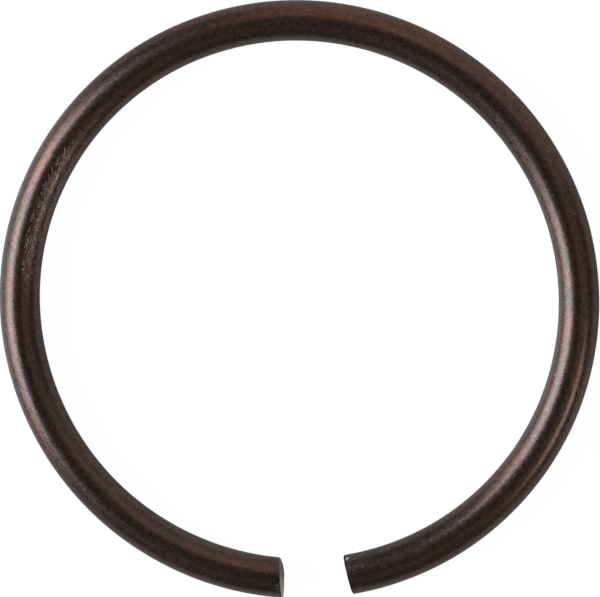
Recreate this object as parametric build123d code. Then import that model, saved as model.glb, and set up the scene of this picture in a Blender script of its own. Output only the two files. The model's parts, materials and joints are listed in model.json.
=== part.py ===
from build123d import *
from math import asin, cos, degrees, radians, sin
import os

# Round-wire snap ring for a shaft groove: one piece of spring wire coiled into an open ring.
# Millimetres and degrees. The ring's axis is +Z, the origin is the ring's centre on the wire's
# middle plane, and the gap between the two cut ends is centred on -Y.

# Driving dimensions
wire_diameter = 2.5
free_inner_diameter = 32.2  # unsprung, a little under the groove's floor, so that the ring grips
gap_width = 4.2  # between the cut ends, at the wire's middle
left_cut_slant = 6.6  # off square to the wire, for the end at -X
right_cut_slant = 2.0  # the same, for the end at +X
rollover_radius = 0.6  # of the edge that the shear rolled over, on the inside of the end at -X
rollover_length = 0.5  # how far across the wire that rolled edge reaches

# Sizes that follow from them
wire_radius = wire_diameter / 2
ring_radius = free_inner_diameter / 2 + wire_radius
half_gap_angle = degrees(asin(gap_width / 2 / ring_radius))

# Each shear blade reaches past the gap's middle, but stops short of the other end
blade_width = 0.7 * gap_width
blade_reach = wire_diameter + rollover_radius
blade_half_height = wire_diameter


def cut_frame(side, slant):
    """Frame at the wire's middle on one cut end: x points into the gap and z along the ring's axis.

    side is -1 for the end at -X and 1 for the end at +X. slant turns the cut about Z, off square.
    """
    angle = radians(side * half_gap_angle)
    middle = Vector(ring_radius * sin(angle), -ring_radius * cos(angle), 0)
    into_gap = Vector(-side, 0, 0).rotate(Axis.Z, side * half_gap_angle + slant)
    return Plane(origin=middle, x_dir=into_gap, z_dir=(0, 0, 1))


def straight_blade(frame):
    """Block that trims one end to a plain flat cut."""
    block = Rectangle(blade_width, 2 * blade_reach, align=(Align.MIN, Align.CENTER))
    return extrude(frame * block, amount=blade_half_height, both=True)


def rolling_blade(frame):
    """Block that trims an end flat and rolls over the edge at the frame's +y."""
    roll_start = wire_radius - rollover_length
    roll_end = roll_start + rollover_radius
    with BuildSketch() as outline:
        with BuildLine():
            side = Line((-rollover_radius, blade_reach), (-rollover_radius, roll_end))
            roll = RadiusArc(side @ 1, (0, roll_start), rollover_radius)
            Polyline(
                roll @ 1,
                (0, -blade_reach),
                (blade_width, -blade_reach),
                (blade_width, blade_reach),
                side @ 0,
            )
        make_face()
    return extrude(frame * outline.sketch, amount=blade_half_height, both=True)


def make_snap_ring():
    """Full ring of wire with the gap sheared out of it."""
    ring = Torus(ring_radius, wire_radius)
    # The frame of the end at -X has its y towards the ring's inside, where that end is rolled
    left_cut = rolling_blade(cut_frame(-1, left_cut_slant))
    right_cut = straight_blade(cut_frame(1, right_cut_slant))
    return ring - left_cut - right_cut


os.makedirs("parts", exist_ok=True)
export_step(make_snap_ring(), "parts/snap_ring.step")
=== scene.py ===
import json
from math import atan2, cos, pi, radians, sin, tan

import bpy
from mathutils import Matrix, Vector


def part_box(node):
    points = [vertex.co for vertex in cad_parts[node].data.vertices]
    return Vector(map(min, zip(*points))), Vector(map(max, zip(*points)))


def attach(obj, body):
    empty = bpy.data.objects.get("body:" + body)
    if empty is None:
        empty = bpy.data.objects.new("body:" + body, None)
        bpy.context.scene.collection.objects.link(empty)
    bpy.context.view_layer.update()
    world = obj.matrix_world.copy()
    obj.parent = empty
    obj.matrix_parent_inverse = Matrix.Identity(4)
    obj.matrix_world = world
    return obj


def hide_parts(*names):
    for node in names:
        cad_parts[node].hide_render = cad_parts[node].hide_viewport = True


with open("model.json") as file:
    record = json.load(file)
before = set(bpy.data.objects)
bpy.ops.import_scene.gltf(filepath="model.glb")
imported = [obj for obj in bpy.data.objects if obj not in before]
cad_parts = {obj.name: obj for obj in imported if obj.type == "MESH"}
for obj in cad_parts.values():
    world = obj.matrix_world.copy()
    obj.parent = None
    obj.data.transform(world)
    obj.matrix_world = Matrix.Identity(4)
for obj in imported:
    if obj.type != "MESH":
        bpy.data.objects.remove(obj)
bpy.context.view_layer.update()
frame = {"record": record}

# A snap ring of round spring wire, browned by its heat treatment, sheared at both ends.
# Metres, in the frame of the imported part: the ring's axis is Z and its gap is towards -Y.

MM = 0.001
MICRON = 0.000001

# ---------------------------------------------------------------- sizes read from the frame

ring_low, ring_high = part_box("snap_ring")
WIRE_RADIUS = ring_high.z
RING_RADIUS = ring_high.x - WIRE_RADIUS
FLOOR_HEIGHT = ring_low.z
MOUNTS = {mount["name"]: mount for mount in frame["record"]["mounts"]}


def cut_angles(mount):
    """Where a cut lies round the ring, and how far it is off square, both from -Y and anticlockwise."""
    x, y, _ = mount["pos_m"]
    normal_x, normal_y, _ = mount["axis"]
    place = atan2(x, -y)
    side = 1 if x > 0 else -1
    outward = atan2(-side * normal_y, side * -normal_x)
    return place, outward - place


# The shear's marks on the two ends
ROLLOVER_ACROSS = 0.36 * MM
ROLLOVER_ALONG = 0.18 * MM
EDGE_ROUND = 0.05 * MM
BURR_HEIGHT = 0.09 * MM
FRACTURE_ROUGHNESS = 0.035 * MM
FRACTURE_BULGE = 0.035 * MM

# The drawn wire's own unevenness
RELIEF_HEIGHT = 5 * MICRON
WANDER_HEIGHT = 20 * MICRON
RELIEF_DRAWN_OUT = 0.25  # how much shorter a step along the wire counts, so that marks run along it

# Noise on the shape: scale per metre, detail and roughness. The burr's goes round the wire, per radius.
FRACTURE_GRAIN = (9000.0, 4.0, 0.6)
BURR_GRAIN = (4.0, 3.0, 0.6)
RELIEF_GRAIN = (2200.0, 3.0, 0.5)
WANDER_GRAIN = (90.0, 1.0, 0.5)

# Where the cut faces are torn, in wire radii: out from the middle, and up for the left face's top
TORN_RIGHT = (-0.1, 0.4)
TORN_LEFT_STARTS = (-0.8, -0.5)
TORN_LEFT_ENDS = (0.3, 0.0)
TORN_LEFT_BELOW = (0.0, -0.3)
TORN_RAGGEDNESS = 0.6

ROLLED_SIDE_FALLOFF = 1.6  # how quickly the rolled edge and the burr fade away from the ring's inside
MERGE_DISTANCE = 1 * MICRON

# How finely the wire is meshed
COLUMNS = 84
FACE_ROWS = 16
EDGE_ROWS = 10
TUBE_ROWS = 990
UV_STRIPS = 4
UV_MARGIN = 0.03


# ---------------------------------------------------------------- formulas as nodes


class Field:
    """A value in a node tree. Arithmetic on it adds the math nodes that work it out."""

    def __init__(self, tree, socket):
        self.tree = tree
        self.socket = socket

    def __add__(self, other):
        return calculate(self.tree, "ADD", self, other)

    def __radd__(self, other):
        return calculate(self.tree, "ADD", other, self)

    def __sub__(self, other):
        return calculate(self.tree, "SUBTRACT", self, other)

    def __rsub__(self, other):
        return calculate(self.tree, "SUBTRACT", other, self)

    def __mul__(self, other):
        return calculate(self.tree, "MULTIPLY", self, other)

    def __rmul__(self, other):
        return calculate(self.tree, "MULTIPLY", other, self)

    def __truediv__(self, other):
        return calculate(self.tree, "DIVIDE", self, other)

    def __neg__(self):
        return calculate(self.tree, "MULTIPLY", self, -1.0)

    def __pow__(self, other):
        return calculate(self.tree, "POWER", self, other)


def feed(tree, socket, value):
    """Links a field to a socket, or writes a plain value on it."""
    if isinstance(value, Field):
        tree.links.new(value.socket, socket)
    else:
        socket.default_value = value


def calculate(tree, operation, *values):
    node = tree.nodes.new("ShaderNodeMath")
    node.operation = operation
    for socket, value in zip(node.inputs, values):
        feed(tree, socket, value)
    return Field(tree, node.outputs[0])


def sine(field):
    return calculate(field.tree, "SINE", field)


def cosine(field):
    return calculate(field.tree, "COSINE", field)


def least(field, other):
    return calculate(field.tree, "MINIMUM", field, other)


def most(field, other):
    return calculate(field.tree, "MAXIMUM", field, other)


def share(field):
    """The field held between 0 and 1."""
    return least(most(field, 0.0), 1.0)


def blend(first, second, amount):
    return first + (second - first) * amount


def step_up(field, low, high):
    """0 below low, 1 above high, and a smooth rise between. With low above high it falls instead."""
    node = field.tree.nodes.new("ShaderNodeMapRange")
    node.interpolation_type = "SMOOTHSTEP"
    for socket, value in zip(node.inputs, (field, low, high, 0.0, 1.0)):
        feed(field.tree, socket, value)
    return Field(field.tree, node.outputs["Result"])


def vector_of(x, y, z):
    tree = next(part.tree for part in (x, y, z) if isinstance(part, Field))
    node = tree.nodes.new("ShaderNodeCombineXYZ")
    for socket, value in zip(node.inputs, (x, y, z)):
        feed(tree, socket, value)
    return Field(tree, node.outputs[0])


def parts_of(vector):
    node = vector.tree.nodes.new("ShaderNodeSeparateXYZ")
    feed(vector.tree, node.inputs[0], vector)
    return [Field(vector.tree, output) for output in node.outputs]


def noise(place, scale, detail=2.0, roughness=0.5):
    """Smooth random values, about 0.5 on average."""
    node = place.tree.nodes.new("ShaderNodeTexNoise")
    node.noise_dimensions = "3D"
    feed(place.tree, node.inputs["Vector"], place)
    node.inputs["Scale"].default_value = scale
    node.inputs["Detail"].default_value = detail
    node.inputs["Roughness"].default_value = roughness
    return Field(place.tree, node.outputs[0])


# ---------------------------------------------------------------- the wire ring's geometry


class RingTree:
    """The node tree that bends a grid into the sheared ring of wire.

    Rows of the grid run along the wire: from the middle of the right cut face out to its edge,
    round the ring, and in again to the middle of the left cut face. Columns run round the wire,
    from the line that it rests on.
    """

    INPUTS = {
        "Ring Radius": RING_RADIUS,
        "Wire Radius": WIRE_RADIUS,
        "Right Cut Angle": cut_angles(MOUNTS["right_cut_face"])[0],
        "Right Cut Slant": cut_angles(MOUNTS["right_cut_face"])[1],
        "Left Cut Angle": cut_angles(MOUNTS["left_cut_face"])[0],
        "Left Cut Slant": cut_angles(MOUNTS["left_cut_face"])[1],
        "Rollover Across": ROLLOVER_ACROSS,
        "Rollover Along": ROLLOVER_ALONG,
        "Edge Round": EDGE_ROUND,
        "Burr Height": BURR_HEIGHT,
        "Fracture Roughness": FRACTURE_ROUGHNESS,
        "Fracture Bulge": FRACTURE_BULGE,
        "Relief Height": RELIEF_HEIGHT,
        "Wander Height": WANDER_HEIGHT,
    }

    def __init__(self, material):
        self.tree = bpy.data.node_groups.new("sheared_wire_ring", "GeometryNodeTree")
        self.material = material
        for name in self.INPUTS:
            self.tree.interface.new_socket(name, in_out="INPUT", socket_type="NodeSocketFloat")
        self.tree.interface.new_socket("Geometry", in_out="OUTPUT", socket_type="NodeSocketGeometry")
        self.source = self.tree.nodes.new("NodeGroupInput")
        self.lay_out_grid()
        self.shape_section()
        self.shape_ends()
        self.place_along()
        self.finish_mesh()

    def size(self, name):
        return Field(self.tree, self.source.outputs[name])

    def node(self, kind, **settings):
        node = self.tree.nodes.new(kind)
        for name, value in settings.items():
            setattr(node, name, value)
        return node

    def lay_out_grid(self):
        """Row and column numbers, and how far each row is through the face, the edge and the tube."""
        end_rows = FACE_ROWS + EDGE_ROWS
        rows = TUBE_ROWS + 2 * end_rows
        self.grid = self.node("GeometryNodeMeshGrid")
        self.grid.inputs["Size X"].default_value = rows
        self.grid.inputs["Size Y"].default_value = COLUMNS
        self.grid.inputs["Vertices X"].default_value = rows + 1
        self.grid.inputs["Vertices Y"].default_value = COLUMNS + 1
        position = self.node("GeometryNodeInputPosition")
        x, y, _ = parts_of(Field(self.tree, position.outputs[0]))
        self.rows = rows
        self.row = x + rows / 2
        self.column = y + COLUMNS / 2
        from_end = least(self.row, float(rows) - self.row)
        self.face = share(from_end / FACE_ROWS)
        self.edge = share((from_end - FACE_ROWS) / EDGE_ROWS)
        self.tube = share((self.row - end_rows) / TUBE_ROWS)
        self.right_end = step_up(self.row, rows / 2, rows / 2 - 1)

    def shape_section(self):
        """The round section, its rounded or rolled-over edge, and the flat cut inside it."""
        turn = self.column * (2 * pi / COLUMNS)
        self.outward = sine(turn)
        self.upward = -cosine(turn)
        self.inner_side = most(-self.outward, 0.0) ** ROLLED_SIDE_FALLOFF
        small = self.size("Edge Round")
        across_left = blend(small, self.size("Rollover Across"), self.inner_side)
        along_left = blend(small, self.size("Rollover Along"), self.inner_side)
        across = blend(across_left, small, self.right_end)
        turned = self.edge * (pi / 2)
        self.reach = (self.size("Wire Radius") - across) * self.face + across * sine(turned)
        drop = 1.0 - cosine(turned)
        self.drop_left = along_left * drop
        self.drop_right = small * drop

    def shape_ends(self):
        """The torn part of each cut face, and the burr that the shear left on the right end's inside."""
        place = vector_of(self.reach * self.outward, self.reach * self.upward, 0.0)
        grain = noise(place, *FRACTURE_GRAIN) - 0.5
        ragged_line = grain * TORN_RAGGEDNESS
        on_face = 1.0 - self.edge
        across = self.reach * self.outward / self.size("Wire Radius")
        raised = self.reach * self.upward / self.size("Wire Radius")
        torn_right = step_up(across + ragged_line, *TORN_RIGHT)
        torn_left = step_up(across, *TORN_LEFT_STARTS) * step_up(across, *TORN_LEFT_ENDS)
        torn_left = torn_left * step_up(raised + ragged_line, *TORN_LEFT_BELOW)
        roughness = self.size("Fracture Roughness")
        bulge = self.size("Fracture Bulge") * torn_left * (0.6 + grain)
        torn_away = roughness * torn_right * (0.4 + grain * 2.0)
        ragged = noise(vector_of(self.outward, self.upward, 7.0), *BURR_GRAIN)
        near_rim = step_up(self.face + self.edge, 0.8, 1.0) * step_up(self.edge, 0.9, 0.3)
        burr = self.size("Burr Height") * self.inner_side * near_rim * (0.3 + 1.2 * ragged)
        scored = roughness * grain * 0.3
        self.torn = blend(torn_left, torn_right, self.right_end) * on_face
        self.proud_left = (bulge + scored) * on_face
        self.proud_right = (scored - torn_away) * on_face + burr

    def cut(self, side, a):
        """The angle round the ring at which a cut meets the wire, at a distance out from its middle."""
        slant = calculate(self.tree, "TANGENT", self.size(side + " Cut Slant"))
        shift = calculate(self.tree, "ARCTAN2", a * slant, self.size("Ring Radius") + a)
        return self.size(side + " Cut Angle") + shift

    def place_along(self):
        """Bends the wire: each row's place between the two cuts, and each point's place in space."""
        radius = self.size("Ring Radius")
        a = self.reach * self.outward
        start = self.cut("Right", a) + (self.drop_right - self.proud_right) / radius
        end = self.cut("Left", a) + 2 * pi - (self.drop_left - self.proud_left) / radius
        angle = blend(start, end, self.tube)
        self.from_right = (angle - self.cut("Right", a)) * (radius + a)
        self.from_left = (self.cut("Left", a) + 2 * pi - angle) * (radius + a)
        along = angle * radius
        relief_place = vector_of(along * RELIEF_DRAWN_OUT, a, self.reach * self.upward)
        relief_noise = noise(relief_place, *RELIEF_GRAIN) - 0.5
        relief = relief_noise * self.size("Relief Height") * 2.0
        wander_noise = noise(vector_of(along, 0.0, 0.0), *WANDER_GRAIN) - 0.5
        wander = wander_noise * self.size("Wander Height") * 2.0
        reach = self.reach + relief * self.edge
        out = reach * self.outward
        up = reach * self.upward
        from_axis = radius + out + wander
        self.wire_place = vector_of(along, out, up)
        self.position = vector_of(from_axis * sine(angle), -from_axis * cosine(angle), up)

    def store(self, geometry, name, kind, domain, value):
        node = self.node("GeometryNodeStoreNamedAttribute", data_type=kind, domain=domain)
        self.tree.links.new(geometry, node.inputs["Geometry"])
        node.inputs["Name"].default_value = name
        feed(self.tree, node.inputs["Value"], value)
        return node.outputs["Geometry"]

    def uv_place(self):
        """The wire cut into equal lengths that lie side by side on the map."""
        on_face = self.node("GeometryNodeFieldOnDomain", data_type="FLOAT", domain="FACE")
        feed(self.tree, on_face.inputs[0], self.row)
        row_of_face = Field(self.tree, on_face.outputs[0])
        length = self.rows / UV_STRIPS
        strip = calculate(self.tree, "FLOOR", row_of_face / length)
        u = UV_MARGIN + (self.row / length - strip) * (1 - 2 * UV_MARGIN)
        v = (strip + UV_MARGIN + self.column / COLUMNS * (1 - 2 * UV_MARGIN)) / UV_STRIPS
        return vector_of(u, v, 0.0)

    def finish_mesh(self):
        """Stores what the material and the map need, then moves and closes the mesh."""
        geometry = self.grid.outputs["Mesh"]
        cut_share = (1.0 - self.edge) * step_up(self.edge, 1.0, 0.2)
        geometry = self.store(geometry, "OFBake", "FLOAT2", "CORNER", self.uv_place())
        geometry = self.store(geometry, "cut_share", "FLOAT", "POINT", cut_share)
        geometry = self.store(geometry, "torn", "FLOAT", "POINT", self.torn)
        geometry = self.store(geometry, "from_right", "FLOAT", "POINT", self.from_right)
        geometry = self.store(geometry, "from_left", "FLOAT", "POINT", self.from_left)
        geometry = self.store(geometry, "wire_place", "FLOAT_VECTOR", "POINT", self.wire_place)
        move = self.node("GeometryNodeSetPosition")
        self.tree.links.new(geometry, move.inputs["Geometry"])
        feed(self.tree, move.inputs["Position"], self.position)
        close = self.node("GeometryNodeMergeByDistance")
        close.inputs["Distance"].default_value = MERGE_DISTANCE
        smooth = self.node("GeometryNodeSetShadeSmooth")
        realize = self.node("GeometryNodeRealizeInstances")
        finish = self.node("GeometryNodeSetMaterial")
        finish.inputs["Material"].default_value = self.material
        result = self.node("NodeGroupOutput")
        chain = [move, close, smooth, realize, finish, result]
        for first, second in zip(chain, chain[1:]):
            self.tree.links.new(first.outputs[0], second.inputs[0])


def plain_mesh(name, tree, values):
    """An object with the node tree's result as a plain mesh."""
    carrier = bpy.data.objects.new(name + "_carrier", bpy.data.meshes.new(name + "_carrier"))
    bpy.context.scene.collection.objects.link(carrier)
    modifier = carrier.modifiers.new("shape", "NODES")
    modifier.node_group = tree
    for item in tree.interface.items_tree:
        if item.in_out == "INPUT":
            modifier[item.identifier] = values[item.name]
    graph = bpy.context.evaluated_depsgraph_get()
    mesh = bpy.data.meshes.new_from_object(carrier.evaluated_get(graph), depsgraph=graph)
    mesh.name = name
    bpy.data.objects.remove(carrier)
    piece = bpy.data.objects.new(name, mesh)
    bpy.context.scene.collection.objects.link(piece)
    return piece


# ---------------------------------------------------------------- the browned steel finish

OXIDE_BROWN = (0.174, 0.110, 0.095)
# Warm brown of the oxide's streaks, and of the painted warm tint where the warm board reflects
WARM_OXIDE_AND_REFLECTION = (0.205, 0.122, 0.088)
OXIDE_OLIVE = (0.117, 0.111, 0.080)
OXIDE_GREEN = (0.105, 0.105, 0.072)
# Near black: the torn parts of the cut faces, and painted shade on the right cut's rim
BLACK_OXIDE_AND_SHADE = (0.030, 0.026, 0.028)
# Lighter grey-violet for the band beside the right cut
GREY_VIOLET_BAND = (0.250, 0.215, 0.225)
# Painted glint: pale green beside the left cut
FLAKE_TAN = (0.42, 0.30, 0.21)
PAINTED_GLINT_GREEN = (0.50, 0.54, 0.50)
# Bare steel of the scratches and specks, and the colour of the painted glints
BARE_STEEL_AND_GLINTS = (0.52, 0.47, 0.45)
SHEARED_BROWN = (0.34, 0.29, 0.23)
SHEARED_STEEL = (0.80, 0.70, 0.67)
# Painted glint: near white on the burr's nib at the right cut
PAINTED_GLINT_WHITE = (0.95, 0.93, 0.91)

METALLIC = 0.94
ROUGHNESS = 0.18
ROUGHNESS_BY_MOTTLE = 0.14
ROUGHNESS_BY_GRAIN = 0.08

# Noise on the wire: (how much a step along the wire counts, shift along it in metres, scale per
# metre, detail, roughness)
PATTERNS = {
    "patches": (0.5, 0.0, 1300.0, 4.0, 0.65),
    "streaks": (0.06, 0.0, 5200.0, 3.0, 0.6),
    "mottle": (1.0, 0.0, 3200.0, 3.0, 0.65),
    "grain": (1.0, 0.0, 9500.0, 3.0, 0.7),
    "tint": (1.0, 0.5, 5200.0, 2.0, 0.6),
    "flakes": (1.0, 0.7, 4800.0, 2.0, 0.5),
    # Noise that breaks up the painted green glint on the left end
    "green_glints": (1.0, 0.2, 5200.0, 2.0, 0.5),
}
DRIFT = (120.0, 1.0)  # scale per metre and detail of the slow change along the wire

# Spots on the wire: (scale per metre, size of a spot in cells, share of the cells that have one)
SPOTS = {
    "specks": (1100.0, 0.075, 0.7),
    # Painted glints: small lighter spots that sparkle in the highlights
    "glints": (5200.0, 0.24, 0.12),
    "pits": (2600.0, 0.16, 0.25),
}

# Scratches: (slant towards the outside, slant back along the wire, scale, where a line fades in)
SCRATCHES = (
    (0.2, -0.25, 7000.0, (0.55, 0.65)),
    (-0.2, 0.45, 8000.0, (0.57, 0.66)),
)

RAGGED_LINE = 0.1 * MM  # how far the edge of a worn zone strays at a raggedness of 1

# Zones of wear and of painted light and shade: each is the product of its ramps, (measure,
# raggedness, where it is 0, where it is 1), in millimetres. from_right and from_left are distances
# from the cuts along the wire, out and up go from the wire's middle, and along starts at the gap's
# middle and goes anticlockwise.
ZONES = {
    # Painted shade: the right cut's rounded rim painted near black, standing for the dark it reflects
    "painted_dark_rim": (("from_right", 1.0, 0.10, 0.05),),
    # A lighter grey-violet band beside the right cut
    "grey_band_by_cut": (("from_right", 1.0, 0.34, 0.24), ("out", 0.0, 0.45, -0.2)),
    "flaked": (
        ("from_right", 0.0, 1.5, 0.9),
        ("from_right", 0.0, 0.2, 0.5),
        ("out", 0.0, 0.2, -0.1),
        ("up", 0.0, 0.3, 0.5),
    ),
    # Painted glint on the burr's nib at the inner corner of the right cut
    "painted_nib_glint": (
        ("from_right", 0.0, 0.06, 0.10),
        ("from_right_and_out", 0.0, -0.80, -0.88),
        ("out", 0.0, -0.99, -1.02),
        ("up", 0.0, 0.50, 0.56),
    ),
    "bitten": (
        ("from_left", 3.0, 0.9, 0.3),
        ("out", 0.0, -0.8, -0.4),
        ("out", 0.0, 0.9, 0.4),
    ),
    # Painted glint: pale green spots beside the left cut
    "painted_green_glint": (
        ("from_left", 2.0, 0.42, 0.20),
        ("from_left", 0.0, 0.05, 0.11),
        ("out", 3.0, 0.18, 0.34),
        ("out", 0.0, 0.80, 0.50),
    ),
    "near_left_end": (("from_left", 0.0, 3.5, 1.5),),
    "rubbed": (
        ("along", 0.0, 68.5, 71.5),
        ("along", 0.0, 80.5, 77.5),
        ("out", 0.0, 0.0, -0.3),
        ("up", 0.0, 0.4, 0.7),
    ),
    # Painted reflection tint: the outer half at the ring's top, where the warm board reflects, made
    # warmer
    "warm_reflection_tint": (
        ("along", 0.0, 32.0, 42.0),
        ("along", 0.0, 66.0, 54.0),
        ("out", 0.0, -0.2, 0.3),
    ),
    "steely_cut": (("out", 0.0, -0.7, 0.5),),
}

# How strongly each layer shows over the ones before it
STRENGTH = {
    "less_warm": 0.85,
    "warm_reflection_tint": 0.6,
    "bitten": 0.85,
    "grey_band_by_cut": 0.55,
    "flaked": 0.7,
    "scratches": 0.3,
    "painted_green_glint": 0.7,
    "specks": 0.9,
    "glints": 0.4,
    "torn": 0.9,
    "painted_dark_rim": 0.9,
}

# Bumps, from the coarse to the fine: (pattern, height, strength)
BUMPS = (
    ("scratches", 18 * MICRON, 1.0),
    ("streaks", 4 * MICRON, 0.5),
    ("mottle", 8 * MICRON, 0.6),
    ("grain", 6.5 * MICRON, 1.0),
    ("pits", 8 * MICRON, 0.6),
)


def mix_colour(tree, first, second, amount):
    node = tree.nodes.new("ShaderNodeMix")
    node.data_type = "RGBA"
    feed(tree, node.inputs["Factor"], amount)
    for socket, value in ((node.inputs[6], first), (node.inputs[7], second)):
        feed(tree, socket, value if isinstance(value, Field) else (*value, 1.0))
    return Field(tree, node.outputs[2])


def shade(colour, amount):
    """The colour made darker or lighter by an amount about 1."""
    tree = colour.tree
    node = tree.nodes.new("ShaderNodeVectorMath")
    node.operation = "SCALE"
    feed(tree, node.inputs[0], colour)
    feed(tree, node.inputs["Scale"], amount)
    return Field(tree, node.outputs[0])


def named_attribute(tree, name, output):
    node = tree.nodes.new("ShaderNodeAttribute")
    node.attribute_name = name
    return Field(tree, node.outputs[output])


def bump(tree, height, distance, strength, normal=None):
    node = tree.nodes.new("ShaderNodeBump")
    node.inputs["Strength"].default_value = strength
    node.inputs["Distance"].default_value = distance
    feed(tree, node.inputs["Height"], height)
    if normal is not None:
        feed(tree, node.inputs["Normal"], normal)
    return Field(tree, node.outputs[0])


def spots(place, scale, size, share_shown):
    """Round spots at random places: 1 in the middle of a spot and 0 between them."""
    node = place.tree.nodes.new("ShaderNodeTexVoronoi")
    feed(place.tree, node.inputs["Vector"], place)
    node.inputs["Scale"].default_value = scale
    distance = Field(place.tree, node.outputs["Distance"])
    chance = parts_of(Field(place.tree, node.outputs["Color"]))[0]
    shown = calculate(place.tree, "GREATER_THAN", chance, 1.0 - share_shown)
    return step_up(distance, size, size * 0.4) * shown


def scratch_marks(along, out, up):
    """Fine scratches that cross each other: two noises, each drawn out along its own slant."""
    drawn_out = 0.3
    marks = []
    for sideways, back, scale, fade in SCRATCHES:
        place = vector_of(along * drawn_out + out * sideways, out + along * back, up)
        marks.append(step_up(noise(place, scale, 1.0), *fade))
    return most(*marks)


def wear_zone(measures, ragged, name):
    """How far inside a zone of wear a point is, from 0 to 1."""
    amount = 1.0
    for measure, raggedness, none, full in ZONES[name]:
        amount = amount * step_up(measures[measure] + ragged * raggedness, none * MM, full * MM)
    return amount


def finish_patterns(place):
    """Each noise and kind of spot on the wire, by name."""
    along, out, up = parts_of(place)
    made = {}
    for name, (stretch, shift, scale, detail, roughness) in PATTERNS.items():
        made[name] = noise(vector_of(along * stretch + shift, out, up), scale, detail, roughness)
    for name, (scale, size, share_shown) in SPOTS.items():
        made[name] = spots(place, scale, size, share_shown)
    made["drift"] = noise(vector_of(along, 0.0, 0.0), *DRIFT)
    made["scratches"] = scratch_marks(along, out, up)
    return made


def finish_zones(tree, place, mottle):
    """Each zone of wear on the wire, by name."""
    along, out, up = parts_of(place)
    from_right = named_attribute(tree, "from_right", "Fac")
    measures = {
        "along": along,
        "out": out,
        "up": up,
        "from_right": from_right,
        "from_left": named_attribute(tree, "from_left", "Fac"),
        "from_right_and_out": from_right + out,
    }
    ragged = (mottle - 0.5) * RAGGED_LINE
    return {name: wear_zone(measures, ragged, name) for name in ZONES}


def oxide_colour(tree, made, zones):
    """The thin oxide, from olive to warm brown, darker and lighter with the grain. The outer half at the
    ring's top is painted warmer, tinting the warm board's reflection there.
    """
    brown = step_up(made["patches"] * 0.6 + made["tint"] * 0.4, 0.38, 0.56)
    colour = mix_colour(tree, OXIDE_OLIVE, OXIDE_BROWN, brown)
    warm_streaks = step_up(made["streaks"] + made["drift"] * 0.3, 0.55, 0.85)
    # The warm streaks, plus a warm tint painted on the outer half at the ring's top where the warm board
    # reflects
    warm = share(warm_streaks + zones["warm_reflection_tint"] * STRENGTH["warm_reflection_tint"])
    warm = warm * (1.0 - zones["near_left_end"] * STRENGTH["less_warm"])
    colour = mix_colour(tree, colour, WARM_OXIDE_AND_REFLECTION, warm)
    colour = mix_colour(tree, colour, OXIDE_GREEN, zones["bitten"] * STRENGTH["bitten"])
    return shade(colour, 0.5 + step_up(made["grain"] * 0.7 + made["mottle"] * 0.3, 0.27, 0.73))


def worn_colour(tree, colour, made, zones):
    """The oxide with what the shear and the handling left on it, the bare metal of the cuts, painted
    glints on the wire and its ends, and painted shade on the right cut's rim.
    """
    flakes = step_up(made["flakes"], 0.57, 0.63) * zones["flaked"]
    # Painted glint: pale green spots beside the left cut
    green_glints = step_up(made["green_glints"], 0.42, 0.58) * zones["painted_green_glint"]
    rubs = made["scratches"] * zones["rubbed"]
    # Lighter specks, and painted glints that sparkle in the highlights
    bright = share(made["specks"] * STRENGTH["specks"] + made["glints"] * STRENGTH["glints"])
    torn = named_attribute(tree, "torn", "Fac")
    bare = mix_colour(tree, SHEARED_BROWN, SHEARED_STEEL, zones["steely_cut"])
    bare = mix_colour(tree, bare, BLACK_OXIDE_AND_SHADE, torn * STRENGTH["torn"])
    layers = (
        # A lighter grey-violet band beside the right cut
        (GREY_VIOLET_BAND, zones["grey_band_by_cut"] * STRENGTH["grey_band_by_cut"]),
        (FLAKE_TAN, flakes * STRENGTH["flaked"]),
        (BARE_STEEL_AND_GLINTS, rubs * STRENGTH["scratches"]),
        (PAINTED_GLINT_GREEN, green_glints * STRENGTH["painted_green_glint"]),
        (BARE_STEEL_AND_GLINTS, bright),
        (bare, named_attribute(tree, "cut_share", "Fac")),
        # Painted glint: the burr's nib painted near white
        (PAINTED_GLINT_WHITE, zones["painted_nib_glint"]),
        # Painted shade: a near-black line on the right cut's rounded rim
        (BLACK_OXIDE_AND_SHADE, zones["painted_dark_rim"] * STRENGTH["painted_dark_rim"]),
    )
    for layer, amount in layers:
        colour = mix_colour(tree, colour, layer, amount)
    return colour


def browned_steel():
    """Spring wire with a thin brown oxide over steel: half gloss, drawn along its length."""
    material = bpy.data.materials.new("browned_spring_steel")
    material.use_nodes = True
    tree = material.node_tree
    shader = tree.nodes["Principled BSDF"]
    place = named_attribute(tree, "wire_place", "Vector")
    made = finish_patterns(place)
    zones = finish_zones(tree, place, made["mottle"])

    colour = worn_colour(tree, oxide_colour(tree, made, zones), made, zones)
    feed(tree, shader.inputs["Base Color"], colour)
    mottled = ROUGHNESS + made["mottle"] * ROUGHNESS_BY_MOTTLE
    feed(tree, shader.inputs["Roughness"], mottled + made["grain"] * ROUGHNESS_BY_GRAIN)
    shader.inputs["Metallic"].default_value = METALLIC

    heights = dict(made, scratches=made["scratches"] * zones["rubbed"], pits=-made["pits"])
    normal = None
    for name, distance, strength in BUMPS:
        normal = bump(tree, heights[name], distance, strength, normal)
    feed(tree, shader.inputs["Normal"], normal)
    return material


# ---------------------------------------------------------------- floor, lamps and camera


def direction(azimuth, elevation):
    """Unit vector at degrees anticlockwise from +X, and above the horizon."""
    turn, rise = radians(azimuth), radians(elevation)
    return Vector((cos(rise) * cos(turn), cos(rise) * sin(turn), sin(rise)))


FLOOR_REACH = 40 * RING_RADIUS
FLOOR_PALE = 0.5
FLOOR_PALE_SEEN = 0.12
FLOOR_SHEEN = 0.18
FLOOR_ROUGHNESS = 0.35
FLOOR_GLOW_SEEN = 0.97
FLOOR_GLOW_REFLECTED = 0.10


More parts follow.
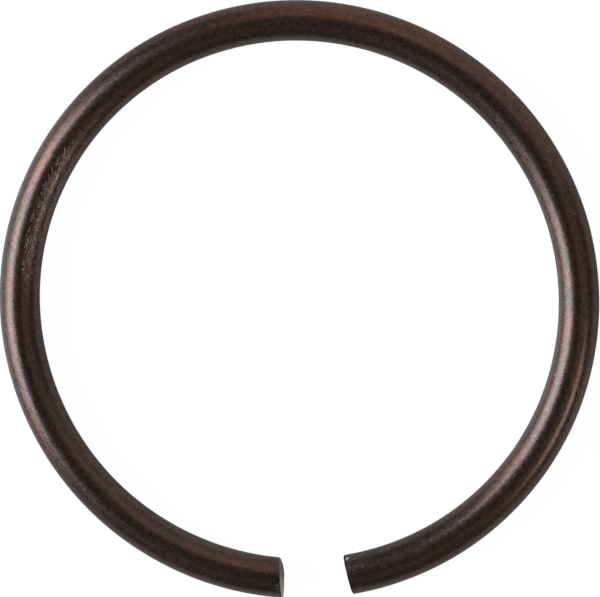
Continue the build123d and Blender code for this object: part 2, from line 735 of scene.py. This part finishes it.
def white_floor():
    """A pale table that shows white and keeps a faint shadow."""
    mesh = bpy.data.meshes.new("floor")
    reach = FLOOR_REACH
    corners = [(x * reach, y * reach, FLOOR_HEIGHT) for x, y in ((-1, -1), (1, -1), (1, 1), (-1, 1))]
    mesh.from_pydata(corners, [], [(0, 1, 2, 3)])
    floor = bpy.data.objects.new("floor", mesh)
    bpy.context.scene.collection.objects.link(floor)
    material = bpy.data.materials.new("pale_table")
    material.use_nodes = True
    tree = material.node_tree
    tree.nodes.remove(tree.nodes["Principled BSDF"])
    path = tree.nodes.new("ShaderNodeLightPath")
    camera, glossy, through = (
        Field(tree, path.outputs[name])
        for name in ("Is Camera Ray", "Is Glossy Ray", "Is Transmission Ray")
    )
    diffuse = tree.nodes.new("ShaderNodeBsdfDiffuse")
    satin = tree.nodes.new("ShaderNodeBsdfGlossy")
    satin.inputs["Roughness"].default_value = FLOOR_ROUGHNESS
    glow = tree.nodes.new("ShaderNodeEmission")
    surface = tree.nodes.new("ShaderNodeAddShader")
    add = tree.nodes.new("ShaderNodeAddShader")
    pale = blend(FLOOR_PALE, FLOOR_PALE_SEEN, camera)
    feed(tree, diffuse.inputs["Color"], vector_of(pale, pale, pale))
    sheen = (1.0 - camera) * FLOOR_SHEEN
    feed(tree, satin.inputs["Color"], vector_of(sheen, sheen, sheen))
    reflected = (glossy + through) * FLOOR_GLOW_REFLECTED
    feed(tree, glow.inputs["Strength"], camera * FLOOR_GLOW_SEEN + reflected)
    tree.links.new(diffuse.outputs[0], surface.inputs[0])
    tree.links.new(satin.outputs[0], surface.inputs[1])
    tree.links.new(surface.outputs[0], add.inputs[0])
    tree.links.new(glow.outputs[0], add.inputs[1])
    tree.links.new(add.outputs[0], tree.nodes["Material Output"].inputs["Surface"])
    mesh.materials.append(material)


PANEL_DISTANCE = 600 * MM

# Lamps: (name, azimuth, elevation, width and height in degrees, brightness in red, green and blue)
LAMPS = (
    ("cool_soft_box", 176.5, 37.5, 46, 31, (3.25, 3.65, 4.5)),
    ("cool_soft_box_foot", 177, 14, 64, 18, (1.9, 1.75, 1.8)),
    ("small_strip", -35, 35, 18, 13, (3.0, 2.8, 2.7)),
    ("strip_edge", -15, 67, 24, 5, (0.55, 0.42, 0.32)),
    ("small_strip_glow", -45, 62, 60, 24, (0.085, 0.065, 0.055)),
    ("warm_board", 84, 18, 32, 84, (0.35, 0.245, 0.18)),
    ("pale_board", 41, 17, 50, 84, (0.245, 0.23, 0.22)),
)

# The dim room behind the lamps, which is warmer towards WARM_DIRECTION and darkest overhead
ROOM_COOL_SIDE = (0.100, 0.113, 0.132)
ROOM_WARM_SIDE = (0.088, 0.078, 0.074)
ROOM_OVERHEAD = (0.047, 0.036, 0.031)
WARM_DIRECTION = (0.94, -0.34)
WARM_FADE = (-0.7, 0.7)
OVERHEAD_FADE = (0.75, 0.97)


def panel(name, azimuth, elevation, width, height, colour):
    """A soft box as wide and high as these angles in degrees, whose face is as bright as its colour."""
    light = bpy.data.lights.new(name, "AREA")
    light.shape = "RECTANGLE"
    light.size = 2 * PANEL_DISTANCE * tan(radians(width) / 2)
    light.size_y = 2 * PANEL_DISTANCE * tan(radians(height) / 2)
    brightness = max(colour)
    light.color = [channel / brightness for channel in colour]
    light.energy = brightness * pi * light.size * light.size_y
    towards = direction(azimuth, elevation)
    lamp = bpy.data.objects.new(name, light)
    lamp.location = towards * PANEL_DISTANCE
    lamp.rotation_mode = "QUATERNION"
    lamp.rotation_quaternion = (-towards).to_track_quat("-Z", "Y")
    bpy.context.scene.collection.objects.link(lamp)


def studio_lights():
    for lamp in LAMPS:
        panel(*lamp)
    world = bpy.data.worlds.new("dim_room")
    world.use_nodes = True
    tree = world.node_tree
    place = tree.nodes.new("ShaderNodeTexCoord")
    x, y, z = parts_of(Field(tree, place.outputs["Generated"]))
    towards_warm = x * WARM_DIRECTION[0] + y * WARM_DIRECTION[1]
    side = mix_colour(tree, ROOM_COOL_SIDE, ROOM_WARM_SIDE, step_up(towards_warm, *WARM_FADE))
    room = mix_colour(tree, side, ROOM_OVERHEAD, step_up(z, *OVERHEAD_FADE))
    feed(tree, tree.nodes["Background"].inputs["Color"], room)
    bpy.context.scene.world = world


# The camera stands a little off the ring's axis, and the ring lies slightly turned in its view
CAMERA_DISTANCE = 420 * MM
CAMERA_AZIMUTH = 47.4
CAMERA_TILT = 8.8
CAMERA_ROLL = 3.58
SENSOR_WIDTH = 36.0
VIEW_WIDTH = 37.0518 * MM
AIM_RIGHT = 0.10128 * MM
AIM_UP = 0.13462 * MM


def place_camera():
    data = bpy.data.cameras.new("camera")
    data.sensor_width = SENSOR_WIDTH
    data.lens = SENSOR_WIDTH * CAMERA_DISTANCE / VIEW_WIDTH
    camera = bpy.data.objects.new("camera", data)
    back = direction(CAMERA_AZIMUTH, 90 - CAMERA_TILT)
    upright = direction(90 - CAMERA_ROLL, 0)
    right = upright.cross(back).normalized()
    up = back.cross(right)
    aim = right * AIM_RIGHT + up * AIM_UP
    camera.matrix_world = Matrix.Translation(aim + back * CAMERA_DISTANCE) @ Matrix(
        (right, up, back)
    ).transposed().to_4x4()
    bpy.context.scene.collection.objects.link(camera)
    bpy.context.scene.camera = camera
    bpy.context.scene.view_settings.view_transform = "Standard"


# ---------------------------------------------------------------- the scene

place_camera()
white_floor()
studio_lights()

steel = browned_steel()
wire_ring = plain_mesh("wire_ring", RingTree(steel).tree, RingTree.INPUTS)
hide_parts("snap_ring")
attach(wire_ring, "root")
